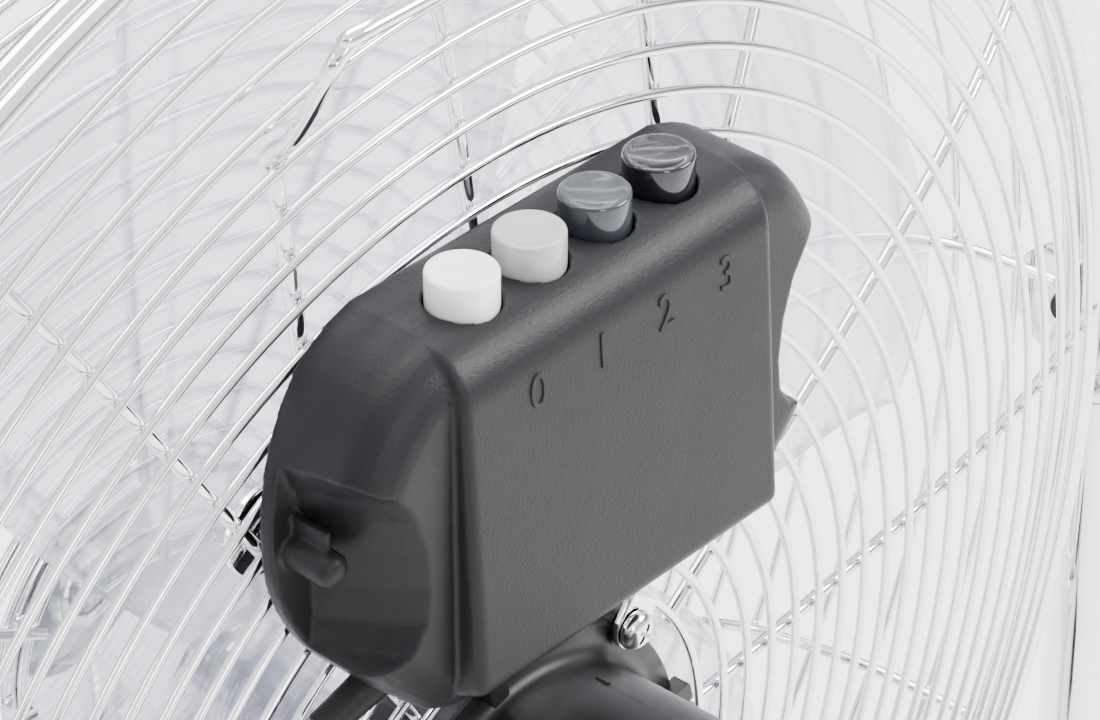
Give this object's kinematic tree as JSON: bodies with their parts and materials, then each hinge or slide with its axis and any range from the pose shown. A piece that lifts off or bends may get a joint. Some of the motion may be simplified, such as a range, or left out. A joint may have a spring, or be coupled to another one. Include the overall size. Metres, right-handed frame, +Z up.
{
  "type": "desk fan",
  "caption": "Wire-caged desk fan with a rear push-button control box, carrying handle and a tilting head in a tubular U stand.",
  "frame": {"origin": "centre of the footprint on the surface the fan stands on, under the tilt axis", "axes": "+Z up; -Y is where the air leaves (front); the control box is on the +Y side; +X is the fan's own left"},
  "size_m": [0.537, 0.266, 0.5133],
  "materials": {
    "chrome": "polished",
    "black_plastic": "fine grained satin",
    "black_paint": "satin",
    "clear_plastic": "clear, faint violet",
    "white_plastic": "gloss",
    "light_grey_plastic": "gloss",
    "grey_plastic": "gloss",
    "dark_plastic": "gloss",
    "steel": "plain",
    "copper": "enamelled wire",
    "bronze": "sintered",
    "brass": "plain",
    "rubber": "matt",
    "nylon": "plain"
  },
  "bodies": {
    "stand": {"yoke": "chrome", "tang_left": "chrome", "tang_right": "chrome", "foot_bar_left": "chrome", "foot_bar_right": "chrome", "foot_front_left": "rubber", "foot_front_right": "rubber", "foot_rear_left": "rubber", "foot_rear_right": "rubber", "pivot_washer_left": "nylon", "pivot_washer_right": "nylon", "cord": "rubber", "cord_tail": "rubber", "cord_coil": "rubber", "plug": "rubber", "plug_pin_1": "brass", "plug_pin_2": "brass"},
    "head": {"box_clamp_bar": "chrome", "rear_grille": "chrome", "front_grille": "chrome", "badge_plate": "chrome", "handle": "chrome", "rim_clip_1": "chrome", "rim_clip_2": "chrome", "rim_clip_3": "chrome", "rim_clip_4": "chrome", "rim_clip_5": "chrome", "rim_clip_6": "chrome", "motor_screw_1": "chrome", "motor_screw_2": "chrome", "motor_screw_3": "chrome", "motor_screw_4": "chrome", "control_box": "black_plastic", "box_plate": "black_plastic", "switch_block": "black_plastic", "capacitor": "black_plastic", "motor_cover": "black_paint", "motor_bell": "black_paint", "pivot_lug_left": "steel", "pivot_lug_right": "steel", "stator_core": "steel", "box_screw_1": "steel", "box_screw_2": "steel", "winding_front": "copper", "winding_rear": "copper", "bearing_front": "bronze", "bearing_rear": "bronze", "cord_gland": "rubber", "motor_lead": "rubber"},
    "rotor": {"shaft": "steel", "rotor_core": "steel", "impeller": "clear_plastic", "spinner": "chrome"},
    "button_0_body": {"button_0": "white_plastic"},
    "button_1_body": {"button_1": "light_grey_plastic"},
    "button_2_body": {"button_2": "grey_plastic"},
    "button_3_body": {"button_3": "dark_plastic"},
    "knob_left": {"tilt_knob_left": "black_plastic"},
    "knob_right": {"tilt_knob_right": "black_plastic"}
  },
  "joints": [
    {"name": "head_tilt", "type": "hinge", "parent": "stand", "child": "head", "pos_m": [0, 0, 0.28], "axis": [-1, 0, 0], "range_deg": [-30, 90], "deforming": ["cord"]},
    {"name": "blade_spin", "type": "hinge", "parent": "head", "child": "rotor", "pos_m": [0, 0.045, 0.28], "axis": [0, -1, 0], "continuous": true},
    {"name": "button_0_press", "type": "slide", "parent": "head", "child": "button_0_body", "axis": [0, 0, -1], "range_m": [0, 0.004], "stiffness_N_per_m": 400, "springref_m": -0.002},
    {"name": "button_1_press", "type": "slide", "parent": "head", "child": "button_1_body", "axis": [0, 0, -1], "range_m": [0, 0.004], "stiffness_N_per_m": 400, "springref_m": -0.002},
    {"name": "button_2_press", "type": "slide", "parent": "head", "child": "button_2_body", "axis": [0, 0, -1], "range_m": [0, 0.004], "stiffness_N_per_m": 400, "springref_m": -0.002},
    {"name": "button_3_press", "type": "slide", "parent": "head", "child": "button_3_body", "axis": [0, 0, -1], "range_m": [0, 0.004], "stiffness_N_per_m": 400, "springref_m": -0.002},
    {"name": "knob_left_turn", "type": "hinge", "parent": "stand", "child": "knob_left", "pos_m": [0.26, 0, 0.28], "axis": [1, 0, 0], "range_deg": [0, 360]},
    {"name": "knob_right_turn", "type": "hinge", "parent": "stand", "child": "knob_right", "pos_m": [-0.26, 0, 0.28], "axis": [-1, 0, 0], "range_deg": [0, 360]}
  ]
}
